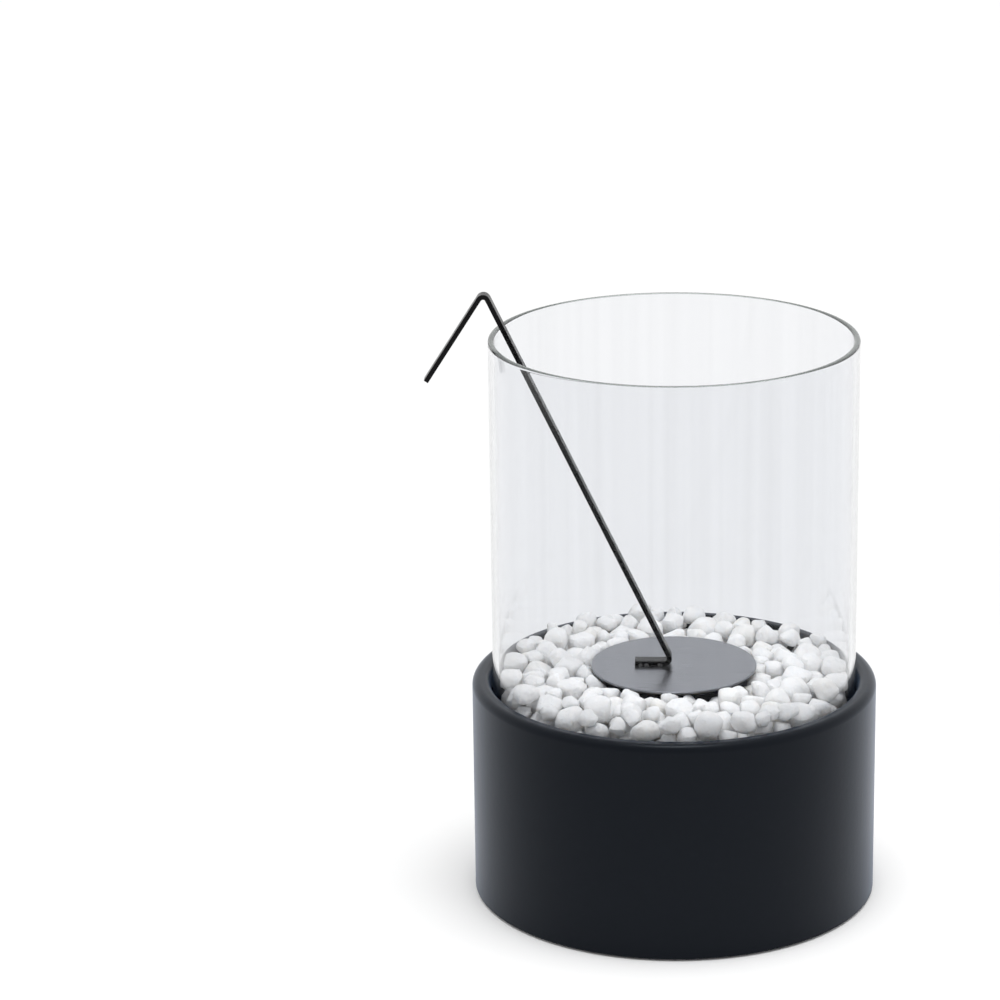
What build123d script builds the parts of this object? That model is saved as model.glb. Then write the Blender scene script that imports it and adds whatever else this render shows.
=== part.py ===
from build123d import *

import math
import os
import random

# Tabletop fireplace for liquid fuel: a spun steel base, a glass tube standing in its rim,
# a burner in a bed of marble pebbles, and a snuffer whose bent handle reaches over the glass.
# Millimetres. +Z is up, the origin is on the table under the middle of the base, and the
# snuffer's handle leans towards -X.

# Clearances shared by all pieces
FIT_CLEARANCE = 0.15
REST_CLEARANCE = 0.2

# Glass tube
GLASS_DIAMETER = 150.0
GLASS_WALL = 2.5
GLASS_HEIGHT = 160.0
GLASS_EDGE_ROUND = 1.0

# Base shell with its turned-in rim
BASE_HEIGHT = 92.0
SHELL_SHEET = 1.2
RIM_LEDGE = 7.3
RIM_SLOT_CLEARANCE = 1.2
RIM_OUTER_ROUND = 3.2
RIM_INNER_ROUND = 2.2
HEM_DEPTH = 9.0
SHELL_GROUND_GAP = 1.0

# Base floor and the soft pad under it
FLOOR_SHEET = 1.2
FLOOR_LIP_HEIGHT = 10.0
FLOOR_BEND = 3.0
PAD_THICKNESS = 2.0
PAD_INSET = 8.5
PAD_CHAMFER = 0.6

# Pebble tray and the brackets that carry it
TRAY_DEPTH = 16.0
TRAY_SHEET = 1.2
TRAY_LIP_HEIGHT = 6.0
TRAY_BEND = 2.5
BRACKET_COUNT = 3
BRACKET_WIDTH = 14.0
BRACKET_SHEET = 1.5
BRACKET_LEG = 16.0
BRACKET_SHELF = 12.0
BRACKET_BEND = 2.5
BRACKET_TURN = 90.0

# Burner: an outer can that hangs in a sleeve by its curled rim, and a fuel cup inside it
RING_DIAMETER = 61.0
RING_RISE = 3.7
RING_BEAD = 1.8
BURNER_DEPTH = 66.0
CAN_SHEET = 0.5
CAN_CORNER = 4.0
CUP_SHEET = 0.5
CUP_CORNER = 4.5
CUP_CLEARANCE = 0.3
CUP_LIP = 0.9
CUP_LIP_DROP = 0.4
SLEEVE_CLEARANCE = 0.35
SLEEVE_SHEET = 0.9
SLEEVE_FOOT = 8.0
SLEEVE_BEND = 1.9

# Snuffer: lid disc and bent strip handle
LID_OVERHANG = 3.7
LID_SHEET = 1.0
LID_EDGE_ROUND = 0.3
STRIP_WIDTH = 6.0
STRIP_THICKNESS = 2.0
STRIP_BEND = 3.0
STRIP_EDGE_ROUND = 0.3
FOOT_LENGTH = 17.0
FOOT_PAST_CENTRE = 1.0
HOOK_RISE = 21.5
HOOK_OVERHANG = 1.2
HOOK_LENGTH = 46.0
HOOK_LEAN = 32.7
WELD_RADIUS = 1.3
WELD_FRONT_SHARES = (0.14, 0.28, 0.6)
WELD_BACK_SHARES = (0.2, 0.34)

# Pebbles: flattened stones in a few sizes, laid at random between the sleeve and the glass
STONE_SMALLEST = 9.5
STONE_LARGEST = 17.5
STONE_SIZE_SHARES = (0.0, 0.25, 0.45, 0.7, 1.0)
STONE_FLATNESS_SHARE = 0.68
STONE_PLAN_SHARES = (1.0, 0.98, 1.0, 0.97, 0.99, 1.0, 0.97, 1.0, 0.98, 0.99)
STONE_LATITUDES = (-68.0, -35.0, 0.0, 35.0, 68.0)
STONE_GAP = 0.04
STONE_SEED = 12
STONE_TRIES = 80
STONE_MISS_LIMIT = 150
FILL_AT_WALLS = 1.0
FILL_CROWN = 6.0
LID_STONE_CLEARANCE = 0.8
HEAP_NAMES = ("back_right", "back", "back_left", "front_left", "front", "front_right")

# Radii worked out from the glass outwards
glass_radius = GLASS_DIAMETER / 2
glass_inner_radius = glass_radius - GLASS_WALL
rim_opening_radius = glass_radius + RIM_SLOT_CLEARANCE
base_radius = rim_opening_radius + RIM_LEDGE
shell_inner_radius = base_radius - SHELL_SHEET
fitted_radius = shell_inner_radius - FIT_CLEARANCE

# Radii worked out from the burner ring inwards and outwards
ring_radius = RING_DIAMETER / 2
bead_radius = RING_BEAD / 2
can_inner_radius = ring_radius - RING_BEAD
can_radius = can_inner_radius + CAN_SHEET
cup_radius = can_inner_radius - CUP_CLEARANCE
lip_radius = CUP_LIP / 2
sleeve_inner_radius = can_radius + SLEEVE_CLEARANCE
sleeve_radius = sleeve_inner_radius + SLEEVE_SHEET
sleeve_foot_radius = sleeve_radius + SLEEVE_FOOT
tray_hole_radius = sleeve_radius + SLEEVE_BEND
lid_radius = ring_radius + LID_OVERHANG

# Heights from the table up
floor_bottom = PAD_THICKNESS
tray_top = BASE_HEIGHT - TRAY_DEPTH
tray_bottom = tray_top - TRAY_SHEET
glass_bottom = tray_top + REST_CLEARANCE
glass_top = glass_bottom + GLASS_HEIGHT
ring_top = BASE_HEIGHT + RING_RISE
can_bottom = ring_top - BURNER_DEPTH
cup_bottom = can_bottom + CAN_SHEET
cup_top = ring_top - CUP_LIP_DROP
sleeve_top = ring_top - RING_BEAD - REST_CLEARANCE
sleeve_bottom = tray_bottom - SLEEVE_SHEET
lid_bottom = ring_top + REST_CLEARANCE
lid_top = lid_bottom + LID_SHEET

os.makedirs("parts", exist_ok=True)


# Base shell: one sheet up the wall, over the rounded rim and down inside as a hem
with BuildPart() as base_shell:
    with BuildSketch(Plane.XZ):
        with BuildLine():
            FilletPolyline(
                (base_radius, SHELL_GROUND_GAP),
                (base_radius, BASE_HEIGHT),
                (rim_opening_radius, BASE_HEIGHT),
                (rim_opening_radius, BASE_HEIGHT - HEM_DEPTH),
                radius=(RIM_OUTER_ROUND, RIM_INNER_ROUND),
            )
            offset(amount=SHELL_SHEET, side=Side.LEFT)
        make_face()
    revolve(axis=Axis.Z)
base_shell.part.label = "base_shell"
export_step(base_shell.part, "parts/base_shell.step")


# Base floor: a shallow pressed pan, its lip welded to the wall of the shell
with BuildPart() as base_floor:
    with BuildSketch(Plane.XZ):
        with BuildLine():
            FilletPolyline(
                (0, floor_bottom),
                (fitted_radius, floor_bottom),
                (fitted_radius, floor_bottom + FLOOR_LIP_HEIGHT),
                radius=FLOOR_BEND,
            )
            offset(amount=FLOOR_SHEET, side=Side.LEFT)
        make_face()
    revolve(axis=Axis.Z)
base_floor.part.label = "base_floor"
export_step(base_floor.part, "parts/base_floor.step")


# Anti-slip pad: a foam disc glued under the floor, which the whole part stands on
with BuildPart() as anti_slip_pad:
    Cylinder(
        radius=base_radius - PAD_INSET,
        height=PAD_THICKNESS,
        align=(Align.CENTER, Align.CENTER, Align.MIN),
    )
    chamfer(anti_slip_pad.edges().group_by(Axis.Z)[0], length=PAD_CHAMFER)
anti_slip_pad.part.label = "anti_slip_pad"
export_step(anti_slip_pad.part, "parts/anti_slip_pad.step")


# Tray brackets: bent angles whose legs meet the wall along their two upright edges
bracket_wall = math.sqrt(fitted_radius**2 - (BRACKET_WIDTH / 2) ** 2)
for number in range(1, BRACKET_COUNT + 1):
    turn = BRACKET_TURN + number * 360 / BRACKET_COUNT
    with BuildPart() as tray_bracket:
        with BuildSketch(Plane.XZ.rotated((0, 0, turn))):
            with BuildLine():
                FilletPolyline(
                    (bracket_wall, tray_bottom - BRACKET_LEG),
                    (bracket_wall, tray_bottom),
                    (bracket_wall - BRACKET_SHELF, tray_bottom),
                    radius=BRACKET_BEND,
                )
                offset(amount=BRACKET_SHEET, side=Side.LEFT)
            make_face()
        extrude(amount=BRACKET_WIDTH / 2, both=True)
    tray_bracket.part.label = f"tray_bracket_{number}"
    export_step(tray_bracket.part, f"parts/tray_bracket_{number}.step")


# Pebble tray: a pan with a hole for the burner, resting on the brackets under the rim
with BuildPart() as pebble_tray:
    with BuildSketch(Plane.XZ):
        with BuildLine():
            FilletPolyline(
                (tray_hole_radius, tray_bottom),
                (fitted_radius, tray_bottom),
                (fitted_radius, tray_bottom + TRAY_LIP_HEIGHT),
                radius=TRAY_BEND,
            )
            offset(amount=TRAY_SHEET, side=Side.LEFT)
        make_face()
    revolve(axis=Axis.Z)
pebble_tray.part.label = "pebble_tray"
export_step(pebble_tray.part, "parts/pebble_tray.step")


# Burner sleeve: a flanged tube welded under the tray, standing up through its hole
with BuildPart() as burner_sleeve:
    with BuildSketch(Plane.XZ):
        with BuildLine():
            FilletPolyline(
                (sleeve_inner_radius, sleeve_top),
                (sleeve_inner_radius, sleeve_bottom),
                (sleeve_foot_radius, sleeve_bottom),
                radius=SLEEVE_BEND,
            )
            offset(amount=SLEEVE_SHEET, side=Side.LEFT)
        make_face()
    revolve(axis=Axis.Z)
burner_sleeve.part.label = "burner_sleeve"
export_step(burner_sleeve.part, "parts/burner_sleeve.step")


# Burner can: a drawn can whose rim is curled outwards into a bead that hangs on the sleeve
with BuildPart() as burner_can:
    with BuildSketch(Plane.XZ):
        with BuildLine():
            FilletPolyline(
                (0, can_bottom),
                (can_radius, can_bottom),
                (can_radius, ring_top - bead_radius),
                radius=CAN_CORNER,
            )
            offset(amount=CAN_SHEET, side=Side.LEFT)
        make_face()
        with Locations((ring_radius - bead_radius, ring_top - bead_radius)):
            Circle(bead_radius)
    revolve(axis=Axis.Z)
burner_can.part.label = "burner_can"
export_step(burner_can.part, "parts/burner_can.step")


# Fuel cup: a thinner cup standing in the can, with a small lip just inside the bead
with BuildPart() as fuel_cup:
    with BuildSketch(Plane.XZ):
        with BuildLine():
            FilletPolyline(
                (0, cup_bottom),
                (cup_radius, cup_bottom),
                (cup_radius, cup_top - lip_radius),
                radius=CUP_CORNER,
            )
            offset(amount=CUP_SHEET, side=Side.LEFT)
        make_face()
        with Locations((cup_radius - lip_radius, cup_top - lip_radius)):
            Circle(lip_radius)
    revolve(axis=Axis.Z)
fuel_cup.part.label = "fuel_cup"
export_step(fuel_cup.part, "parts/fuel_cup.step")


# Glass cylinder: a tube with fire-polished ends, standing on the tray inside the rim
with BuildPart() as glass_cylinder:
    with BuildSketch(Plane.XY.offset(glass_bottom)):
        Circle(glass_radius)
        Circle(glass_inner_radius, mode=Mode.SUBTRACT)
    extrude(amount=GLASS_HEIGHT)
    fillet(glass_cylinder.edges().group_by(Axis.Z)[0], radius=GLASS_EDGE_ROUND)
    fillet(glass_cylinder.edges().group_by(Axis.Z)[-1], radius=GLASS_EDGE_ROUND)
glass_cylinder.part.label = "glass_cylinder"
export_step(glass_cylinder.part, "parts/glass_cylinder.step")


# Snuffer lid: a flat disc that overhangs the burner ring all round
with BuildPart() as snuffer_lid:
    with BuildSketch(Plane.XY.offset(lid_bottom)):
        Circle(lid_radius)
    extrude(amount=LID_SHEET)
    fillet(snuffer_lid.edges(), radius=LID_EDGE_ROUND)
snuffer_lid.part.label = "snuffer_lid"
export_step(snuffer_lid.part, "parts/snuffer_lid.step")


# Snuffer handle: one flat strip, its foot on the lid, its shaft leaning out to the glass rim
# and its end bent back over the rim as a hook
elbow = (FOOT_PAST_CENTRE, lid_top)
apex = (-glass_radius - HOOK_OVERHANG, glass_top + HOOK_RISE)
hook_x = apex[0] - HOOK_LENGTH * math.sin(math.radians(HOOK_LEAN))
hook_z = apex[1] - HOOK_LENGTH * math.cos(math.radians(HOOK_LEAN))
foot_x = FOOT_PAST_CENTRE - FOOT_LENGTH
with BuildPart() as snuffer_handle:
    with BuildSketch(Plane.XZ):
        with BuildLine():
            FilletPolyline(
                (foot_x, lid_top),
                elbow,
                apex,
                (hook_x, hook_z),
                radius=STRIP_BEND,
            )
            offset(amount=STRIP_THICKNESS, side=Side.LEFT)
        make_face()
    extrude(amount=STRIP_WIDTH / 2, both=True)
    fillet(snuffer_handle.faces().filter_by(Axis.Y).edges(), radius=STRIP_EDGE_ROUND)
snuffer_handle.part.label = "snuffer_handle"
export_step(snuffer_handle.part, "parts/snuffer_handle.step")


# Handle welds: dabs in the corner between the foot's two sides and the lid
with BuildPart() as handle_welds:
    for side, shares in ((-1, WELD_FRONT_SHARES), (1, WELD_BACK_SHARES)):
        for share in shares:
            middle = (foot_x + share * FOOT_LENGTH, side * STRIP_WIDTH / 2)
            with BuildSketch(Plane.XY.offset(lid_top)):
                with BuildLine():
                    rim = CenterArc(middle, WELD_RADIUS, 0, side * 180)
                    Line(rim @ 1, rim @ 0)
                make_face()
            revolve(axis=Axis((*middle, lid_top), (side, 0, 0)), revolution_arc=90)
handle_welds.part.label = "handle_welds"
export_step(handle_welds.part, "parts/handle_welds.step")


def fill_level(away):
    """Highest top of a stone at this distance from the axis: a crown between the two walls."""
    middle = (sleeve_radius + glass_inner_radius) / 2
    half_width = (glass_inner_radius - sleeve_radius) / 2
    crown = 1 - ((away - middle) / half_width) ** 2
    return BASE_HEIGHT + FILL_AT_WALLS + FILL_CROWN * crown


def resting_height(x, y, radius, laid):
    """Height of a stone's centre where it comes to rest, on the tray or on the stones below."""
    height = tray_top + STONE_GAP + radius * STONE_FLATNESS_SHARE
    for other_x, other_y, other_height, other_radius in laid:
        reach = radius + other_radius + STONE_GAP
        apart = math.hypot(x - other_x, y - other_y)
        if apart < reach:
            rise = math.sqrt(reach**2 - apart**2) * STONE_FLATNESS_SHARE
            height = max(height, other_height + rise)
    return height


def lowest_spot(radius, laid):
    """Of several random spots between the walls, the one where the stone lies lowest."""
    nearest = sleeve_radius + radius + STONE_GAP
    farthest = glass_inner_radius - radius - STONE_GAP
    spots = []
    for _ in range(STONE_TRIES):
        angle = random.uniform(0, 2 * math.pi)
        away = math.sqrt(random.uniform(nearest**2, farthest**2))
        x = away * math.cos(angle)
        y = away * math.sin(angle)
        spots.append((resting_height(x, y, radius, laid), x, y))
    return min(spots)


def lay_stones(radii):
    """Lay stones one at a time until no more fit under the fill level."""
    laid = []
    misses = 0
    while misses < STONE_MISS_LIMIT:
        radius = random.choice(radii)
        height, x, y = lowest_spot(radius, laid)
        away = math.hypot(x, y)
        limit = fill_level(away)
        if away - radius < lid_radius + LID_STONE_CLEARANCE:
            limit = min(limit, lid_bottom - LID_STONE_CLEARANCE)
        if height + radius * STONE_FLATNESS_SHARE > limit:
            misses += 1
        else:
            laid.append((x, y, height, radius))
    return laid


# Stone shapes: one faceted, flattened stone for each size
stone_shapes = {}
for size_share in STONE_SIZE_SHARES:
    stone_radius = (STONE_SMALLEST + size_share * (STONE_LARGEST - STONE_SMALLEST)) / 2
    with BuildPart() as stone:
        for latitude in STONE_LATITUDES:
            level = stone_radius * STONE_FLATNESS_SHARE * math.sin(math.radians(latitude))
            spread = stone_radius * math.cos(math.radians(latitude))
            corners = []
            for corner, share in enumerate(STONE_PLAN_SHARES):
                bearing = 2 * math.pi * corner / len(STONE_PLAN_SHARES)
                corners.append((spread * share * math.cos(bearing), spread * share * math.sin(bearing)))
            with BuildSketch(Plane.XY.offset(level)):
                Polygon(*corners, align=None)
        loft(ruled=True)
    stone_shapes[stone_radius] = stone.part


# Pebbles: the stones that lie in each sixth of the ring
random.seed(STONE_SEED)
heaps = {name: [] for name in HEAP_NAMES}
for x, y, height, radius in lay_stones(list(stone_shapes)):
    bearing = math.degrees(math.atan2(y, x)) % 360
    heap = HEAP_NAMES[int(bearing * len(HEAP_NAMES) / 360)]
    place = Location((x, y, height), (0, 0, random.uniform(0, 360)))
    heaps[heap].append((radius, place))

for heap, stones in heaps.items():
    with BuildPart() as pebbles:
        for radius, shape in stone_shapes.items():
            places = [place for size, place in stones if size == radius]
            if places:
                with Locations(*places):
                    add(shape)
    pebbles.part.label = f"pebbles_{heap}"
    export_step(pebbles.part, f"parts/pebbles_{heap}.step")
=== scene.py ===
"""Looks of the tabletop fireplace, built around its packed CAD frame.

Sheet-metal pieces are profiles turned about the upright axis, the handle is a section carried along
a bent path, and each marble stone is a rounded form held back by its neighbours. All lengths are in
metres, in the frame of the CAD model.
"""

import math

import bpy
import numpy as np
from bpy.props import FloatProperty, FloatVectorProperty, IntProperty, PointerProperty
from bpy.types import Operator, Panel, PropertyGroup
from mathutils import Matrix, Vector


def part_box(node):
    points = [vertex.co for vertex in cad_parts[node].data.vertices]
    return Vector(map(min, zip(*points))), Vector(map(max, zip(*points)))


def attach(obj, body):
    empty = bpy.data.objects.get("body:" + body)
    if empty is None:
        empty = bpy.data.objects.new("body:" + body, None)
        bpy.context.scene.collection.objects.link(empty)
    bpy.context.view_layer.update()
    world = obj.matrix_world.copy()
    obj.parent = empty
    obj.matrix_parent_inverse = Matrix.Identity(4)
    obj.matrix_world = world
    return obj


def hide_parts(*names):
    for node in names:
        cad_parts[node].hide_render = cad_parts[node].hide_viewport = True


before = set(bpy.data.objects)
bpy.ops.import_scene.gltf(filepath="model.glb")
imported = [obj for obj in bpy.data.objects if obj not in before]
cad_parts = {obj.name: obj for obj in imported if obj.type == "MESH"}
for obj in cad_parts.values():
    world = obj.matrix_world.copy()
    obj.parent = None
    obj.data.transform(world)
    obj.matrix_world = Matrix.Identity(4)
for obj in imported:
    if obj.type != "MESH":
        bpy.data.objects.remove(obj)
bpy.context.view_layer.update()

bl_info = {
    "name": "Tabletop Fireplace",
    "version": (1, 0, 0),
    "blender": (4, 5, 0),
    "location": "View3D > Sidebar > Fireplace",
    "description": "Dresses the packed tabletop fireplace and sets up its studio",
    "category": "Object",
}

HEAPS = sorted(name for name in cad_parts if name.startswith("pebbles_"))
BLACK_SHEETS = ("base_floor", "pebble_tray", "tray_bracket_1", "tray_bracket_2", "tray_bracket_3")

# Half axes of a stone, as shares of its size
STRETCH_LEAST = (1.05, 0.85, 0.7)
STRETCH_MOST = (1.4, 1.1, 0.95)
# Distance of a stone's flats from its middle, as shares of the free form
FLATS_DEEPEST = 0.6
FLATS_SHALLOWEST = 0.92
# Waves that add up to a stone's dents, and how closely they follow each other
DENT_WAVES = 5
DENT_PITCH = 2.6
# How many of the largest size away a neighbour still counts
NEIGHBOUR_REACH = 3.4
# Slant of the plane that keeps a stone beside the lid away from its edge
LID_SLANT = math.sqrt(0.5)

# Shades of the finishes, as shares of their main colour
HEAT_HAZE = (0.9, 0.82, 0.7)
SOOT = 0.62
DULL_BRUSHING = 0.94
DRAWN_STREAK = 0.965
FLOOR_DRIFT = 1.02

# Cosines to the sky's heading where the front's light ends and the full sky begins
FRONT_END = -1.0
SKY_BEGIN = 0.15

FLOOR_SIDES = 96
SENSOR_WIDTH = 36.0
TINY = 1e-9


# Sizes and colours that a user may change


def length(name, description, default):
    """A length in metres, shown in the scene's own unit."""
    return FloatProperty(
        name=name, description=description, default=default, min=0.0, precision=5, unit="LENGTH"
    )


def place(name, description, default):
    """A place along one axis in metres, on either side of the middle."""
    return FloatProperty(name=name, description=description, default=default, precision=5, unit="LENGTH")


def share(name, description, default, highest=1.0):
    """A plain number from nothing up to the highest that makes sense."""
    return FloatProperty(
        name=name, description=description, default=default, min=0.0, max=highest, precision=3
    )


def colour(name, description, default):
    """A linear colour without alpha."""
    return FloatVectorProperty(
        name=name, description=description, default=default, size=3, min=0.0, max=1.0, subtype="COLOR"
    )


def count(name, description, default, highest):
    """A whole number from nothing up to the highest that makes sense."""
    return IntProperty(name=name, description=description, default=default, min=0, max=highest)


def turn(name, description, default):
    """An angle, kept in radians and shown in degrees."""
    return FloatProperty(name=name, description=description, default=default, subtype="ANGLE")


class SheetSizes(PropertyGroup):
    """Sizes of the sheet-metal pieces and the glass that the frame's boxes don't give."""

    shell_sheet: length("Shell Sheet", "Thickness of the base's sheet", 0.0012)
    rim_ledge: length("Rim Ledge", "Width of the flat top of the base's rim", 0.0073)
    rim_outer_round: length("Rim Outer Round", "Round between the wall and the rim's top", 0.0032)
    rim_inner_round: length("Rim Inner Round", "Round between the rim's top and the hem", 0.0022)
    hem_depth: length("Hem Depth", "Height of the hem that hangs inside the rim", 0.009)
    tray_sheet: length("Tray Sheet", "Thickness of the tray's sheet", 0.0012)
    sleeve_sheet: length("Sleeve Sheet", "Thickness of the collar round the burner", 0.0009)
    sleeve_inset: length("Sleeve Inset", "How far the collar's bore lies inside the burner's ring", 0.00095)
    sleeve_bend: length("Sleeve Bend", "Round between the collar and its foot", 0.0019)
    glass_wall: length("Glass Wall", "Thickness of the glass tube", 0.0025)
    glass_round: length("Glass Round", "Fire-polished round of the tube's edges", 0.001)
    # Height of the ends that get the painted shade, as a share of their round
    shaded_end: share("Cloudy End", "Height of the cloudy ends as a share of their round", 0.4)
    can_sheet: length("Can Sheet", "Thickness of the burner can and the fuel cup", 0.0005)
    can_corner: length("Can Corner", "Round at the foot of the burner can", 0.004)
    can_bead: length("Can Bead", "Diameter of the can's curled rim", 0.0018)
    cup_corner: length("Cup Corner", "Round at the foot of the fuel cup", 0.0045)
    cup_lip: length("Cup Lip", "Diameter of the fuel cup's lip", 0.0009)
    lid_round: length("Lid Round", "Round of the snuffer lid's edges", 0.0003)


class HandleSizes(PropertyGroup):
    """Sizes of the bent strip that the snuffer is held by."""

    thickness: length("Thickness", "Thickness of the strip", 0.002)
    bend: length("Bend", "Round of the strip's bends", 0.003)
    edge_round: length("Edge Round", "Round of the strip's long edges", 0.0003)
    foot_x: place("Foot", "Where the foot on the lid ends, along X", -0.016)
    elbow_x: place("Elbow", "Where the shaft leaves the lid, along X", 0.001)
    hook_rise: length("Hook Rise", "Height of the upper bend over the glass", 0.0215)
    hook_overhang: length("Hook Overhang", "How far the upper bend lies outside the glass", 0.0012)
    hook_length: length("Hook Length", "Length of the strip's bent-down end", 0.046)
    hook_lean: turn("Hook Lean", "Lean of the bent-down end from upright", math.radians(32.7))


class StoneSizes(PropertyGroup):
    """What the marble stones look like between the seats that the frame gives them."""

    growth: share("Growth", "Size of a free stone as a share of its seat", 1.28, 2.0)
    gap: length("Gap", "Least distance between two stones", 0.00006)
    wall_gap: length("Wall Gap", "Least distance from a stone to the glass and the collar", 0.0002)
    lid_gap: length("Lid Gap", "Least distance from a stone to the lid", 0.0003)
    hardness: share("Hardness", "Sharpness of the edges between a stone's sides", 24.0, 40.0)
    facets: count("Facets", "Worn flat sides of a stone", 12, 20)
    dents: share("Dents", "Depth of the soft dents as a share of a stone's size", 0.05)
    tilt: turn("Tilt", "Most that a stone leans in its seat", math.radians(50))
    filler_least: length("Smallest Filler", "Half size of the smallest stone in a hollow", 0.0026)
    filler_most: length("Largest Filler", "Half size of the largest stone in a hollow", 0.006)
    crown_level: length("Crown Level", "Highest middle of a filler, halfway from burner to glass", 0.0945)
    crown_drop: length("Crown Drop", "How much lower that is at the burner and the glass", 0.001)
    crown_lean: length("Crown Lean", "Rise of the crown from the burner to the glass", 0.002)
    filler_spots: count("Filler Spots", "Random points that fillers are chosen from", 14000, 100000)
    nesting: share("Nesting", "Share of a large stone's size that fillers keep away from", 0.8)
    evenness: share("Evenness", "How far small and large stones are drawn to one size", 0.4)
    seed: count("Seed", "Start of the random forms", 8, 1000)


class FinishColours(PropertyGroup):
    """Colours of the finishes."""

    coat: colour("Coat", "Satin black coat of the base", (0.0026, 0.0033, 0.0056))
    strip: colour("Strip", "Black coat of the handle", (0.0020, 0.0020, 0.0024))
    # Painted glint: the lighter grey of the specks on the weld dabs
    weld: colour("Weld", "Weld dabs where their black is thin", (0.06, 0.058, 0.055))
    foam: colour("Foam", "Anti-slip pad", (0.018, 0.018, 0.019))
    burner: colour("Burner", "Bare steel of the burner can", (0.5, 0.465, 0.41))
    cup: colour("Cup", "Sooty steel of the fuel cup", (0.4, 0.41, 0.45))
    lid: colour("Lid", "Satin steel of the snuffer lid", (0.205, 0.212, 0.231))
    glass: colour("Glass", "Tint of the glass tube", (0.9, 0.908, 0.924))
    # Painted shade: this grey on the rounded ends stands in for the dark line that the light gives the rim
    glass_end_shade: colour("Glass End", "Cloudy grey of the tube's polished ends", (0.36, 0.40, 0.385))
    marble: colour("Marble", "White of the stones", (0.945, 0.945, 0.94))
    marble_shade: colour("Marble Shade", "Cloudy grey in the stones", (0.84, 0.84, 0.845))
    marble_warm: colour("Marble Warm", "Cream of the odd stone", (0.9, 0.88, 0.83))
    floor: colour("Floor", "Pale floor under the fireplace", (0.96, 0.96, 0.96))


class StudioSettings(PropertyGroup):
    """Camera, light and surroundings."""

    camera_place: FloatVectorProperty(
        name="Camera Place",
        description="Where the camera stands",
        default=(0.0, -1.442, 0.6168),
        size=3,
        subtype="TRANSLATION",
        unit="LENGTH",
    )
    camera_yaw: turn("Yaw", "Turn of the camera from +Y towards +X", -0.0492)
    camera_pitch: turn("Pitch", "How far the camera looks down", 0.3017)
    camera_roll: turn("Roll", "Turn of the camera about its view", -0.0147)
    lens: FloatProperty(
        name="Lens", description="Focal length in millimetres", default=133.03, min=1.0, unit="CAMERA"
    )
    sky: share("Sky", "Light from above and behind", 1.15, 5.0)
    sky_turn: turn("Sky Turn", "Turn of the brighter side from +Y towards +X", math.radians(18))
    front: share("Front", "Light from the side of the camera", 0.78, 5.0)
    through: share("Through Glass", "Light that comes through the glass, from all sides", 1.4, 5.0)
    softbox_power: FloatProperty(
        name="Softbox Power",
        description="Light of the overhead softbox",
        default=0.2,
        min=0.0,
        unit="POWER",
    )
    softbox_size: length("Softbox Size", "Side of the overhead softbox", 0.32)
    softbox_place: FloatVectorProperty(
        name="Softbox Place",
        description="Where the overhead softbox hangs",
        default=(0.04, -0.06, 1.2),
        size=3,
        subtype="TRANSLATION",
        unit="LENGTH",
    )
    softbox_spread: turn("Softbox Spread", "Width of the softbox's beam", math.radians(30))
    floor_radius: length("Floor Radius", "Radius of the pale floor", 30.0)


GROUPS = {
    "fireplace_sheets": SheetSizes,
    "fireplace_handle": HandleSizes,
    "fireplace_stones": StoneSizes,
    "fireplace_colours": FinishColours,
    "fireplace_studio": StudioSettings,
}


# Surfaces


def rounded_path(corners, rounds, steps=9, flank=0.00015):
    """Points and left-hand normals of a flat line of straight runs with rounded corners.

    At a corner the heading turns evenly from the old run to the new one. The arc starts
    round * tan(turn / 2) before the corner, and after turning by t it has gone round * sin(t) along
    the old run and round * (1 - cos(t)) sideways, towards the side that the path turns to. A point
    a flank before and after each arc keeps the shading of the straight runs flat.
    """
    corners = np.asarray(corners, float)
    headings = np.diff(corners, axis=0)
    headings /= np.linalg.norm(headings, axis=1, keepdims=True)
    normals = np.stack([-headings[:, 1], headings[:, 0]], axis=1)
    points, sides = [corners[:1]], [normals[:1]]
    for corner, along, side, after, radius in zip(corners[1:-1], headings, normals, headings[1:], rounds):
        bend = math.atan2(np.dot(side, after), np.dot(along, after))
        t = np.linspace(0.0, abs(bend), steps)[:, None]
        toward = math.copysign(1.0, bend)
        start = corner - along * radius * math.tan(abs(bend) / 2)
        bow = start + radius * (np.sin(t) * along + toward * (1 - np.cos(t)) * side)
        lean = np.cos(t) * side - toward * np.sin(t) * along
        points += [bow[:1] - flank * along, bow, bow[-1:] + flank * after]
        sides += [lean[:1], lean, lean[-1:]]
    points.append(corners[-1:])
    sides.append(normals[-1:])
    return np.concatenate(points), np.concatenate(sides)


def rounded_loop(corners, round_all):
    """Closed rounded section: the path starts and ends in the middle of the first side."""
    corners = np.asarray(corners, float)
    middle = corners[:2].mean(axis=0)
    path, _ = rounded_path([middle, *corners[1:], corners[0], middle], [round_all] * len(corners))
    return path[:-1]


def sheet_section(corners, rounds, sheet):
    """Closed section of a bent sheet: the rounded path, and back along it one sheet to its left."""
    points, sides = rounded_path(corners, rounds)
    return np.concatenate([points, (points + sheet * sides)[::-1]])


def arc(centre, radius, start, end, steps=15):
    """Points of a flat arc: centre + radius * (cos a, sin a) for a from start to end, in degrees."""
    a = np.radians(np.linspace(start, end, steps))
    return np.asarray(centre) + radius * np.stack([np.cos(a), np.sin(a)], axis=1)


def grid_quads(rows, columns, rows_close, columns_close):
    """Four-sided faces between neighbours on a grid of numbered points, joined up where it closes."""
    number = np.arange(rows * columns).reshape(rows, columns)
    if rows_close:
        number = np.concatenate([number, number[:1]])
    if columns_close:
        number = np.concatenate([number, number[:, :1]], axis=1)
    quads = np.stack([number[:-1, :-1], number[:-1, 1:], number[1:, 1:], number[1:, :-1]], axis=-1)
    return quads.reshape(-1, 4)


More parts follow.
